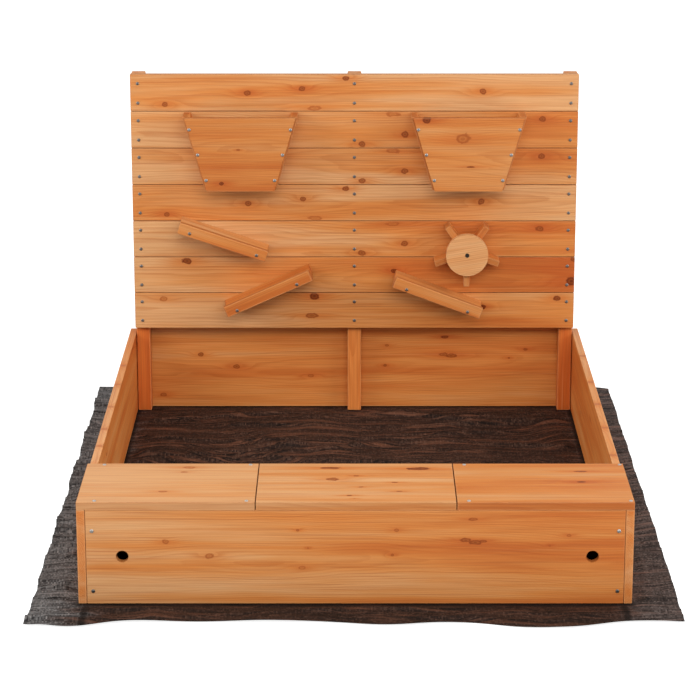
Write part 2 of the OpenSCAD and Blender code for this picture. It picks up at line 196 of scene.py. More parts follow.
def wood_core():
    """One group that every wooden piece shares. P is (along the grain, across, through) in metres from the middle
    of the piece."""
    g, k, i, go = group("wood_core", [("P", "v"), ("Half", "v"), ("Seed", "f"), ("PithV", "f"), ("PithW", "f"), ("Ring", "f"),
                                      ("Tone", "f"), ("Slope", "f"), ("Bright", "f"), ("WearAndHighlight", "f"), ("Band", "f"), ("FaceLight", "f"),
                                      ("Near", "f"), ("Core", "f"), ("Tail", "f")],
                        [("Color", "c"), ("Roughness", "f"), ("Normal", "v")])
    P, seed, tail, dR = i["P"], i["Seed"], i["Tail"], i["Near"]
    u, v, w = k.split(P)
    hx, hy, hz = k.split(i["Half"])
    S = k.xyz(k.mul(seed, 7.313), k.mul(seed, 3.171), k.mul(seed, 5.777))

    def at(sx, sy, sz, shift=0.0):
        return k.v("ADD", k.v("MULTIPLY", P, (sx, sy, sz)), k.v("ADD", S, (shift, shift * 0.7, shift * 1.3)))

    # slow wander of the pith, then a small waviness
    a = k.split(k.noise(at(1.1, 3.0, 3.0), 2.0, 0.45, color=True))
    b = k.split(k.noise(at(5.0, 26.0, 26.0, 3.0), 2.0, 0.5, color=True))
    v2 = k.add(k.add(v, k.mul(k.sub(a[0], 0.5), 0.085)), k.mul(k.sub(b[0], 0.5), 0.007))
    w2 = k.add(k.add(w, k.mul(k.sub(a[1], 0.5), 0.060)), k.mul(k.sub(b[1], 0.5), 0.007))

    knot = k.step(dR, 1.10, 0.86)
    rim = k.mul(k.step(dR, 0.50, 0.92), k.step(dR, 1.40, 1.02))
    dark = i["Core"]

    # growth rings, which bend around the knots
    rr = k.m("SQRT", k.add(k.sq(k.sub(v2, i["PithV"])), k.sq(k.sub(w2, i["PithW"]))))
    fine = k.noise(at(14.0, 160.0, 160.0, 5.0), 2.0, 0.55)
    h = k.add(k.add(k.div(rr, i["Ring"]), k.mul(tail, 2.4)), k.mul(k.sub(fine, 0.5), 0.34))
    f = k.m("FRACT", h)
    late = k.mul(k.step(f, 0.30, 0.90), k.step(f, 1.0, 0.93))
    years = k.noise(k.xyz(k.mul(k.m("FLOOR", h), 0.73), k.mul(seed, 1.9), k.mul(u, 0.6)), 0.0, 0.5)
    late = k.mul(late, k.line(years, 0.25, 0.75, 0.25, 1.0))
    inknot = k.m("FRACT", k.mul(dR, 2.6))
    late = k.m("MAXIMUM", k.mul(late, k.sub(1.0, knot)), k.mul(k.mul(inknot, knot), 0.6))

    # broad bands of colour along the board
    t = k.line(k.noise(at(0.75, 15.0, 11.0, 11.0), 3.0, 0.52, dist=0.4), 0.32, 0.68, -0.5, 0.5)
    t2 = k.line(k.noise(at(3.2, 42.0, 30.0, 17.0), 2.0, 0.55), 0.3, 0.7, -0.5, 0.5)
    tt = k.add(k.add(k.mul(t, i["Band"]), k.mul(t2, 0.25)), i["Tone"])
    tt = k.add(tt, k.mul(k.div(u, hx), i["Slope"]))
    # painted light and shade on the narrow faces along the board's width: lighter top faces on the side boards, darker
    # front edge faces on the seats
    painted_face_light = k.step(k.sub(hy, k.m("ABSOLUTE", v)), 0.0018, 0.0004)
    tt = k.add(tt, k.mul(painted_face_light, i["FaceLight"]))
    tt = k.m("SUBTRACT", tt, k.mul(tail, 0.34), clamp=True)
    base = k.ramp(tt, [(0.0, (0.46, 0.100, 0.016)), (0.30, (0.53, 0.150, 0.028)), (0.55, (0.60, 0.215, 0.050)),
                       (0.75, (0.61, 0.258, 0.080)), (1.0, (0.645, 0.338, 0.145))])
    lateC = k.mix(1.0, base, (0.74, 0.55, 0.42), "MULTIPLY")
    c = k.mix(k.mul(late, 0.50), base, lateC)

    # fibres and thin resin streaks
    fib = k.noise(at(9.0, 620.0, 620.0, 23.0), 2.0, 0.65)
    streak = k.noise(at(1.7, 240.0, 190.0, 29.0), 2.0, 0.6)
    hair = k.noise(at(2.6, 560.0, 420.0, 37.0), 1.0, 0.5)
    c = k.mix(k.mul(k.step(streak, 0.56, 0.72), 0.38), c, (0.40, 0.105, 0.024))
    c = k.mix(k.mul(k.step(streak, 0.42, 0.24), 0.22), c, (0.72, 0.40, 0.17))
    c = k.mix(k.mul(k.step(hair, 0.58, 0.70), 0.42), c, (0.33, 0.085, 0.022))
    shade = k.line(fib, 0.25, 0.75, 0.90, 1.09)
    c = k.mix(1.0, c, k.xyz(shade, shade, shade), "MULTIPLY")

    # the knots themselves
    c = k.mix(k.mul(tail, 0.33), c, (0.46, 0.095, 0.016))
    heart = k.step(dR, 0.52, 0.16)
    core = k.mix(k.mul(inknot, 0.35), k.mix(dark, (0.50, 0.150, 0.030), (0.19, 0.028, 0.0)), k.mix(dark, (0.36, 0.080, 0.010), (0.15, 0.020, 0.0)))
    core = k.mix(k.mul(heart, k.line(dark, 0.0, 1.0, 0.20, 0.95)), core, (0.085, 0.010, 0.0))
    c = k.mix(k.mul(knot, k.line(dark, 0.0, 1.0, 0.45, 0.95)), c, core)
    c = k.mix(k.mul(rim, k.line(dark, 0.0, 1.0, 0.50, 0.88)), c, k.mix(dark, (0.32, 0.062, 0.008), (0.115, 0.012, 0.0)))

    # lighter edges, partly rubbed wear and partly a painted edge highlight: the middle one of three distances to the
    # faces
    ea = k.sub(hx, k.m("ABSOLUTE", u))
    eb = k.sub(hy, k.m("ABSOLUTE", v))
    ec = k.sub(hz, k.m("ABSOLUTE", w))
    edge = k.m("MAXIMUM", k.m("MINIMUM", ea, eb), k.m("MINIMUM", k.m("MAXIMUM", ea, eb), ec))
    edge_noise = k.noise(at(38.0, 38.0, 38.0, 31.0), 3.0, 0.6)
    wear_and_highlight = k.mul(k.step(k.add(edge, k.mul(edge_noise, -0.0042)), 0.0012, -0.0010), i["WearAndHighlight"])
    c = k.mix(wear_and_highlight, c, (0.74, 0.40, 0.17))
    # end grain takes more stain
    endf = k.step(ea, 0.0016, 0.0004)
    c = k.mix(k.mul(endf, 0.22), c, k.mix(1.0, c, (0.68, 0.50, 0.40), "MULTIPLY"))
    # painted shade along the edges of the board, where it meets its neighbours in a seam
    seam_shade = k.step(k.m("MINIMUM", eb, ea), 0.0024, 0.0002)
    c = k.mix(k.mul(seam_shade, 0.26), c, (0.24, 0.060, 0.015))
    bright = i["Bright"]
    c = k.mix(1.0, c, k.xyz(bright, bright, bright), "MULTIPLY")

    rough = k.add(k.line(fib, 0.25, 0.75, 0.48, 0.62), k.mul(late, -0.07))
    rough = k.add(rough, k.mul(wear_and_highlight, 0.15))
    rough = k.m("ADD", rough, k.mul(knot, -0.08), clamp=True)
    # raised late wood, fine fibres, and the faint ripple of a planer across the grain
    plane = k.m("SINE", k.mul(u, 1150.0))
    hgt = k.add(k.add(k.mul(late, 0.55), k.mul(fib, 0.75)), k.add(k.mul(plane, 0.030), k.mul(knot, 0.5)))
    nrm = k.bump(hgt, 0.5, 0.00026)
    for name, value in (("Color", c), ("Roughness", rough), ("Normal", nrm)):
        k.put(go.inputs[name], value)
    return g


KNOT = knot_group()
CORE = wood_core()


def wood(name, middle, half, along, across, seed, tone=(0.4, 0.4), knots=(), bright=1.0, pith=None, ring=0.0042, wear_and_highlight=0.25, band=0.55, rim=0.0):
    """A wood material for one piece: middle and half size in metres, the directions along and across its grain, its
    tone at the two ends, and its knots as (along, across, radius, stretch, darkness)."""
    rnd = random.Random(seed * 101 + 7)
    mat = bpy.data.materials.new(name)
    mat.use_nodes = True
    k = Net(mat.node_tree)
    k.n.clear()
    out = k.n.new("ShaderNodeOutputMaterial")
    bsdf = k.n.new("ShaderNodeBsdfPrincipled")
    k.l.new(bsdf.outputs[0], out.inputs[0])
    tc = k.n.new("ShaderNodeTexCoord")
    p = k.v("SUBTRACT", tc.outputs["Object"], tuple(middle))
    a, b = Vector(along).normalized(), Vector(across).normalized()
    c = a.cross(b).normalized()
    P = k.xyz(k.v("DOT_PRODUCT", p, tuple(a)), k.v("DOT_PRODUCT", p, tuple(b)), k.v("DOT_PRODUCT", p, tuple(c)))
    u, v, w = k.split(P)
    wob = k.line(k.noise(k.v("ADD", k.v("MULTIPLY", P, (75.0, 90.0, 12.0)), (seed * 1.7, 3.1, 0.4)), 2.0, 0.55), 0.25, 0.75, 0.72, 1.30)
    near, core, tail = 99.0, 0.0, 0.0
    for kn in knots:
        ku, kv, kr, long, dark = (list(kn) + [1.0, 0.5])[:5] if len(kn) < 5 else kn
        q = k.n.new("ShaderNodeGroup")
        q.node_tree = KNOT
        for key, val in (("U", u), ("V", v), ("Wob", wob), ("Near", near), ("Core", core), ("Tail", tail),
                         ("K", (ku, kv, kr * 0.72)), ("Long", float(long)), ("Dark", float(dark))):
            k.put(q.inputs[key], val)
        near, core, tail = q.outputs["Near"], q.outputs["Core"], q.outputs["Tail"]
    g = k.n.new("ShaderNodeGroup")
    g.node_tree = CORE
    pv, pw = pith if pith else (rnd.uniform(-0.03, 0.03), -rnd.uniform(0.025, 0.085))
    for key, val in (("P", P), ("Half", tuple(half)), ("Seed", float(seed)), ("PithV", pv), ("PithW", pw),
                     ("Ring", ring * rnd.uniform(0.8, 1.25)), ("Tone", (tone[0] + tone[1]) / 2), ("Slope", (tone[1] - tone[0]) / 2),
                     ("Bright", bright), ("WearAndHighlight", wear_and_highlight), ("Band", band), ("FaceLight", rim), ("Near", near), ("Core", core), ("Tail", tail)):
        k.put(g.inputs[key], val)
    k.l.new(g.outputs["Color"], bsdf.inputs["Base Color"])
    k.l.new(g.outputs["Roughness"], bsdf.inputs["Roughness"])
    k.l.new(g.outputs["Normal"], bsdf.inputs["Normal"])
    bsdf.inputs["Specular IOR Level"].default_value = 0.20
    bsdf.inputs["Coat Weight"].default_value = 0.02
    bsdf.inputs["Coat Roughness"].default_value = 0.40
    return mat


def steel(name, base, rough, low=1.0, level=0.0):
    """Zinc-plated steel with a brushed, slightly dirty surface. Below the given height its colour is darker, scaled by
    low.
    """
    mat = bpy.data.materials.new(name)
    mat.use_nodes = True
    k = Net(mat.node_tree)
    k.n.clear()
    out = k.n.new("ShaderNodeOutputMaterial")
    bsdf = k.n.new("ShaderNodeBsdfPrincipled")
    k.l.new(bsdf.outputs[0], out.inputs[0])
    tc = k.n.new("ShaderNodeTexCoord").outputs["Object"]
    n1 = k.noise(tc, 3.0, 0.6, scale=900.0)
    n2 = k.noise(k.v("MULTIPLY", tc, (4000.0, 4000.0, 300.0)), 1.0, 0.5)
    dirt = k.step(n1, 0.52, 0.72)
    clean = k.mix(k.mul(dirt, 0.55), base, tuple(x * 0.38 for x in base))
    z = k.split(tc)[2]
    k.put(bsdf.inputs["Base Color"], k.mix(k.step(z, level + 0.01, level - 0.01), clean, tuple(x * low for x in base)))
    bsdf.inputs["Metallic"].default_value = 0.95
    k.put(bsdf.inputs["Roughness"], k.add(k.line(n2, 0.3, 0.7, rough - 0.06, rough + 0.08), k.mul(dirt, 0.2)))
    k.put(bsdf.inputs["Normal"], k.bump(k.add(n1, n2), 0.25, 0.00006))
    return mat


# ------------------------------------------------------------------ shaping CAD nodes with modifiers only
def edge_marks():
    """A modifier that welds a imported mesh, marks its long sharp edges for the bevel after it, and keeps short ones,
    which are the rims of screw holes, crisp."""
    g = bpy.data.node_groups.new("edge_marks", "GeometryNodeTree")
    g.interface.new_socket("Geometry", in_out="INPUT", socket_type="NodeSocketGeometry")
    s = g.interface.new_socket("Shortest", in_out="INPUT", socket_type="NodeSocketFloat")
    s.default_value = 0.006
    g.interface.new_socket("Geometry", in_out="OUTPUT", socket_type="NodeSocketGeometry")
    n, l = g.nodes, g.links
    gi, go = n.new("NodeGroupInput"), n.new("NodeGroupOutput")

    def math_node(op, a, b):
        x = n.new("ShaderNodeMath")
        x.operation = op
        for sock, val in zip(x.inputs, (a, b)):
            if isinstance(val, bpy.types.NodeSocket):
                l.new(val, sock)
            else:
                sock.default_value = val
        return x.outputs[0]

    merge = n.new("GeometryNodeMergeByDistance")
    merge.inputs["Distance"].default_value = 0.00002
    l.new(gi.outputs["Geometry"], merge.inputs["Geometry"])
    angle = n.new("GeometryNodeInputMeshEdgeAngle").outputs[0]
    ends = n.new("GeometryNodeInputMeshEdgeVertices")
    dist = n.new("ShaderNodeVectorMath")
    dist.operation = "DISTANCE"
    l.new(ends.outputs["Position 1"], dist.inputs[0])
    l.new(ends.outputs["Position 2"], dist.inputs[1])
    sharp = math_node("GREATER_THAN", angle, 0.55)
    long = math_node("GREATER_THAN", dist.outputs["Value"], gi.outputs["Shortest"])
    weight = math_node("MULTIPLY", sharp, long)
    crisp = math_node("SUBTRACT", sharp, weight)
    store = n.new("GeometryNodeStoreNamedAttribute")
    store.data_type = "FLOAT"
    store.domain = "EDGE"
    store.inputs["Name"].default_value = "bevel_weight_edge"
    l.new(merge.outputs["Geometry"], store.inputs["Geometry"])
    l.new(weight, store.inputs["Value"])
    smooth = n.new("GeometryNodeSetShadeSmooth")
    smooth.domain = "FACE"
    smooth.inputs["Shade Smooth"].default_value = True
    l.new(store.outputs["Geometry"], smooth.inputs["Geometry"])
    normal = n.new("GeometryNodeSetMeshNormal")
    normal.mode = "SHARPNESS"
    l.new(smooth.outputs["Geometry"], normal.inputs["Mesh"])
    for sock in normal.inputs:
        if sock.name == "Remove Custom":
            sock.default_value = True
        if sock.name == "Edge Sharpness":
            l.new(crisp, sock)
    l.new(normal.outputs[0], go.inputs["Geometry"])
    return g, s.identifier


MARKS, MARK_KEY = edge_marks()


def soften(obj, width, shortest=0.006, segments=3):
    """Rounds the long sharp edges of a CAD node with modifiers; its mesh stays as packed."""
    mark = obj.modifiers.new("edge_marks", "NODES")
    mark.node_group = MARKS
    mark[MARK_KEY] = shortest
    bev = obj.modifiers.new("round", "BEVEL")
    bev.limit_method = "WEIGHT"
    bev.width = width
    bev.segments = segments
    bev.use_clamp_overlap = False
    bev.harden_normals = True
    bev.miter_outer = "MITER_SHARP"


def dress(obj, mat):
    """Gives a node its material by its slots."""
    if not obj.material_slots:
        obj.data.materials.append(mat)
    for slot in obj.material_slots:
        slot.material = mat


def mid(node):
    lo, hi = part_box(node)
    return (lo + hi) / 2, (hi - lo) / 2


X, Y, Z = Vector((1, 0, 0)), Vector((0, 1, 0)), Vector((0, 0, 1))
ROUND = 0.0017

# knots as (along, across, radius, stretch along the grain, darkness); wall boards count across from their middle
PLANK_A = [(-0.492, -0.031, 0.0075, 1.0, 0.55), (-0.278, -0.001, 0.0085, 1.0, 0.6), (-0.135, 0.011, 0.0075, 1.0, 0.6),
           (-0.023, 0.038, 0.0070, 1.2, 0.7), (-0.103, -0.041, 0.0065, 2.6, 0.12), (0.333, 0.004, 0.0085, 1.0, 0.6)]
PLANK_B = [(0.020, -0.038, 0.0080, 1.1, 0.6), (0.132, -0.012, 0.0085, 1.0, 0.6), (0.489, 0.028, 0.0085, 1.1, 0.6),
           (0.100, 0.041, 0.0065, 2.6, 0.15)]
WALL_KNOTS = {7: PLANK_A, 6: PLANK_B, 5: PLANK_B, 4: PLANK_A, 3: PLANK_B,
              2: [(-0.442, 0.038, 0.0100, 1.2, 0.85), (0.104, 0.011, 0.0070, 1.0, 0.9), (0.575, -0.017, 0.0130, 1.1, 0.9),
                  (0.579, 0.043, 0.0070, 1.2, 0.7)],
              1: [(-0.505, 0.032, 0.0080, 1.3, 0.2), (-0.106, 0.040, 0.0110, 1.1, 0.9), (-0.113, -0.014, 0.0080, 2.0, 0.5),
                  (0.341, 0.010, 0.0070, 1.0, 0.95), (0.538, 0.033, 0.0085, 1.1, 0.8)]}
# front and back boards: (x, z)
LONG_A = [(-0.408, 0.145, 0.0060, 1.1, 0.5), (-0.315, 0.112, 0.0070, 1.2, 0.45), (-0.124, 0.171, 0.0030, 1.0, 0.85),
          (-0.115, 0.085, 0.0050, 1.5, 0.15), (-0.102, 0.130, 0.0022, 1.0, 0.5), (0.089, 0.171, 0.0040, 1.2, 0.5),
          (0.080, 0.114, 0.0035, 1.0, 0.85), (0.254, 0.196, 0.0042, 2.2, 0.8), (0.238, 0.148, 0.0052, 2.0, 1.1),
          (0.258, 0.143, 0.0058, 2.2, 1.2), (0.276, 0.146, 0.0040, 1.8, 1.1), (0.460, 0.159, 0.0040, 1.2, 0.5), (0.419, 0.136, 0.0027, 1.0, 0.6)]
LONG_A = [q[:4] + (q[4] * 0.5,) for q in LONG_A]
LONG_B = [(-0.413, 0.147, 0.0060, 1.1, 0.6), (-0.317, 0.114, 0.0070, 1.2, 0.55), (-0.514, 0.035, 0.0060, 1.2, 0.4),
          (0.243, 0.196, 0.0050, 1.8, 0.8), (0.240, 0.148, 0.0055, 2.0, 0.5), (0.260, 0.144, 0.0060, 2.2, 0.6), (-0.117, 0.088, 0.0050, 1.4, 0.3), (0.083, 0.117, 0.0040, 1.0, 0.6), (0.088, 0.173, 0.0042, 1.3, 0.4), (0.460, 0.162, 0.0045, 1.2, 0.6), (0.416, 0.138, 0.0030, 1.0, 0.6)]
# seats: (x, y)
LID_KNOTS = [(-0.055, -0.507, 0.0078, 2.4, 0.75), (-0.050, -0.585, 0.0105, 1.2, 0.55), (0.142, -0.512, 0.0105, 2.2, 0.85),
             (0.002, -0.563, 0.0036, 1.4, 0.6), (0.012, -0.639, 0.0034, 1.4, 0.6), (-0.013, -0.696, 0.0046, 1.2, 0.7),
             (-0.002, -0.716, 0.0022, 1.2, 0.5), (0.087, -0.607, 0.0036, 1.8, 0.6), (0.096, -0.668, 0.0036, 1.8, 0.6)]
LEFT_KNOTS = [(-0.418, -0.669, 0.0065, 1.4, 0.25), (-0.370, -0.504, 0.0090, 1.3, 0.15), (-0.380, -0.536, 0.0048, 1.5, 0.35)]
RIGHT_KNOTS = [(0.501, -0.531, 0.0052, 2.6, 0.7), (0.496, -0.605, 0.0050, 1.8, 0.9)]

# straight boards: name, along, across, tone at both ends, knots, brightness, wear and painted edge highlight, seed
BOARDS = [
    ("side_board_left", Y, Z, (0.82, 0.34), [(-0.21, 0.17, 0.004, 1.5, 0.5)] + [(q, 0.2165, 0.0062, 1.0, 0.22) for q in (-0.43, -0.29, -0.16, 0.02, 0.21, 0.38)], 1.20, 0.30, 3),
    ("side_board_right", Y, Z, (0.72, 0.36), [(0.13, 0.15, 0.004, 1.5, 0.5)] + [(q, 0.2165, 0.0062, 1.0, 0.22) for q in (-0.45, -0.36, -0.15, 0.04, 0.23, 0.47)], 1.18, 0.30, 5),
    ("front_board", X, Z, (0.94, 0.34), LONG_A, 0.965, 0.15, 21),
    ("back_board", X, Z, (0.64, 0.44), LONG_B, 1.04, 0.15, 22),
    ("front_corner_post_left", Z, X, (0.15, 0.15), [], 1.0, 0.2, 31),
    ("front_corner_post_right", Z, X, (0.15, 0.15), [], 1.0, 0.2, 32),
    # the wall posts' higher brightness (1.20 to 1.30) is painted light, in place of front light the lamps don't bring
    # into the box
    ("wall_post_left", Z, X, (0.05, 0.85), [], 1.30, 0.2, 33),
    ("wall_post_centre", Z, X, (0.42, 0.85), [], 1.20, 0.2, 34),
    ("wall_post_right", Z, X, (0.0, 0.80), [], 1.27, 0.2, 35),
    ("bench_rear_board", X, Z, (0.40, 0.30), [(0.25, 0.12, 0.006, 1.2, 0.6), (-0.33, 0.15, 0.005, 1.2, 0.6)], 1.0, 0.2, 23),
    ("bench_top_left", X, Y, (1.05, 0.98), LEFT_KNOTS, 0.97, 0.22, 41),
    ("bench_top_right", X, Y, (0.58, 0.48), RIGHT_KNOTS, 0.95, 0.22, 43),
    ("storage_lid", X, Y, (0.92, 0.84), LID_KNOTS, 0.97, 0.22, 45),
    ("lid_batten_left", Y, X, (0.4, 0.4), [], 1.0, 0.2, 47), ("lid_batten_right", Y, X, (0.4, 0.4), [], 1.0, 0.2, 48),
]
for q, tone in ((1, (0.84, 0.52)), (2, (0.98, 0.06)), (3, (0.88, 0.46)), (4, (0.64, 0.98)), (5, (0.90, 0.50)), (6, (0.92, 0.48)), (7, (0.68, 1.04))):
    BOARDS.append(("wall_board_%d" % q, X, Z, tone, WALL_KNOTS[q], 1.0, 0.12, 50 + q))
for name, a, b, tone, knots, bright, wear_and_highlight, seed in BOARDS:
    c, h = mid(name)
    cc = a.cross(b)
    half = [abs(h.dot(a)), abs(h.dot(b)), abs(h.dot(Vector([abs(x) for x in cc])))]
    off = (c.dot(a), 0.0 if name.startswith("wall_board") else c.dot(b))
    kn = [(q[0] - off[0], q[1] - off[1], q[2], q[3], q[4]) for q in knots]
    # painted light and shade: the side boards' top faces are lighter and the seats' front edge faces darker
    rim = {"side_board_left": 0.45, "side_board_right": 0.40, "bench_top_right": -0.28, "storage_lid": -0.12, "bench_top_left": -0.05}.get(name, 0.0)
    dress(NODES[name], wood("wood_" + name, c, half, a, b, seed, tone, kn, bright, wear_and_highlight=wear_and_highlight, rim=rim))
    soften(NODES[name], {"wall_": 0.0025, "bench": 0.0006, "stora": 0.0006}.get(name[:5], ROUND) if "board" not in name else ROUND)

# funnels: level front plates, slanting sides
FUNNEL_KNOTS = {"left": [(-0.344, 0.646, 0.0060, 1.1, 0.85), (-0.300, 0.735, 0.0030, 1.3, 0.4)],
                "right": [(0.186, 0.812, 0.0090, 1.1, 0.9), (0.279, 0.764, 0.0140, 1.3, 0.25), (0.300, 0.690, 0.0024, 4.0, 0.8)]}
for side, s in (("left", -1), ("right", 1)):
    n = "funnel_%s_front_plate" % side
    c, h = mid(n)
    kn = [(q[0] - c.x, q[1] - c.z, q[2], q[3], q[4]) for q in FUNNEL_KNOTS[side]]
    dress(NODES[n], wood("wood_" + n, c, (0.2, h.z, h.y), X, Z, 61 + s, (0.46, 0.46) if s < 0 else (0.60, 0.60), kn, 0.90 if s < 0 else 0.94, wear_and_highlight=0.2))
    soften(NODES[n], ROUND)
    for part, e in (("outer", s), ("inner", -s)):
        n = "funnel_%s_%s_side" % (side, part)
        c, h = mid(n)
        lean = Vector((e * 0.2935, 0, 1)).normalized()
        dress(NODES[n], wood("wood_" + n, c, (h.z * 1.04, h.y, 0.009), lean, Y, 65 + s * 2 + e, (0.4, 0.4), [], 1.0, wear_and_highlight=0.3))
        soften(NODES[n], ROUND)

# chutes
for part, fall, seed in (("upper", 18.6, 71), ("lower", -24.2, 73), ("right", 20.6, 75)):
    a = Vector((math.cos(math.radians(fall)), 0, -math.sin(math.radians(fall))))
    up = Vector((math.sin(math.radians(fall)), 0, math.cos(math.radians(fall))))
    n = "chute_%s_strip" % part
    c, h = mid(n)
    dress(NODES[n], wood("wood_" + n, c, (0.121, 0.015, 0.009), a, up, seed, (0.50, 0.45), [], 0.98, pith=(0.03, 0.02), ring=0.0024, band=0.9))
    soften(NODES[n], ROUND)
    n = "chute_%s_floor" % part
    c, h = mid(n)
    dress(NODES[n], wood("wood_" + n, c, (0.121, 0.034, 0.2), a, Y, seed + 1, (0.6, 0.55), [], 1.0))
    soften(NODES[n], 0.0012)

# the sand wheel
c, h = mid("wheel_disc")
axle = c.copy()
dress(NODES["wheel_disc"], wood("wood_wheel_disc", c, (0.2, 0.2, 0.009), Vector((1, 0, 0.18)), Vector((-0.18, 0, 1)), 81, (1.05, 1.05), [], 1.0, pith=(0.12, 0.05), ring=0.006))
soften(NODES["wheel_disc"], 0.0018, shortest=0.02)
c, h = mid("wheel_hub")
dress(NODES["wheel_hub"], wood("wood_wheel_hub", c, (h.y, 0.2, 0.2), Y, X, 83, (0.4, 0.4), [], 1.0, pith=(0.0, 0.0)))
soften(NODES["wheel_hub"], 0.0005, shortest=0.010)
for q in range(5):
    n = "wheel_paddle_%d" % (q + 1)
    ang = math.radians(90 + q * 72)
    a = Vector((math.cos(ang), 0, -math.sin(ang)))
    c, h = mid(n)
    c = Vector((axle.x, c.y, axle.z)) + a * 0.0515
    dress(NODES[n], wood("wood_" + n, c, (0.0365, 0.028, 0.0075), a, Y, 85 + q, (0.45, 0.45), [], 1.0))
    soften(NODES[n], ROUND * 0.8)

# metal
SCREW = steel("steel_screws", (0.36, 0.35, 0.34), 0.42)
FRONT = steel("steel_front", (0.42, 0.41, 0.39), 0.45, low=0.30, level=0.10)
PALE = steel("steel_pale", (0.62, 0.60, 0.57), 0.50)
DULL = steel("steel_dull", (0.23, 0.205, 0.185), 0.45)
DARK = steel("steel_dark", (0.07, 0.055, 0.045), 0.50)
HINGE = steel("steel_hinge", (0.66, 0.64, 0.60), 0.32)
for n, o in NODES.items():
    if "hinge" in n:
        dress(o, HINGE)
    elif n == "wheel_axle_bolt":
        dress(o, DARK)
    elif n == "bench_top_screws":
        dress(o, PALE)
    elif n == "front_board_screws":
        dress(o, FRONT)
    elif n in ("wall_screws", "chute_screws"):
        dress(o, DULL)
    elif "screw" in n or n in ("wheel_axle_nut", "wheel_washers"):
        dress(o, SCREW)


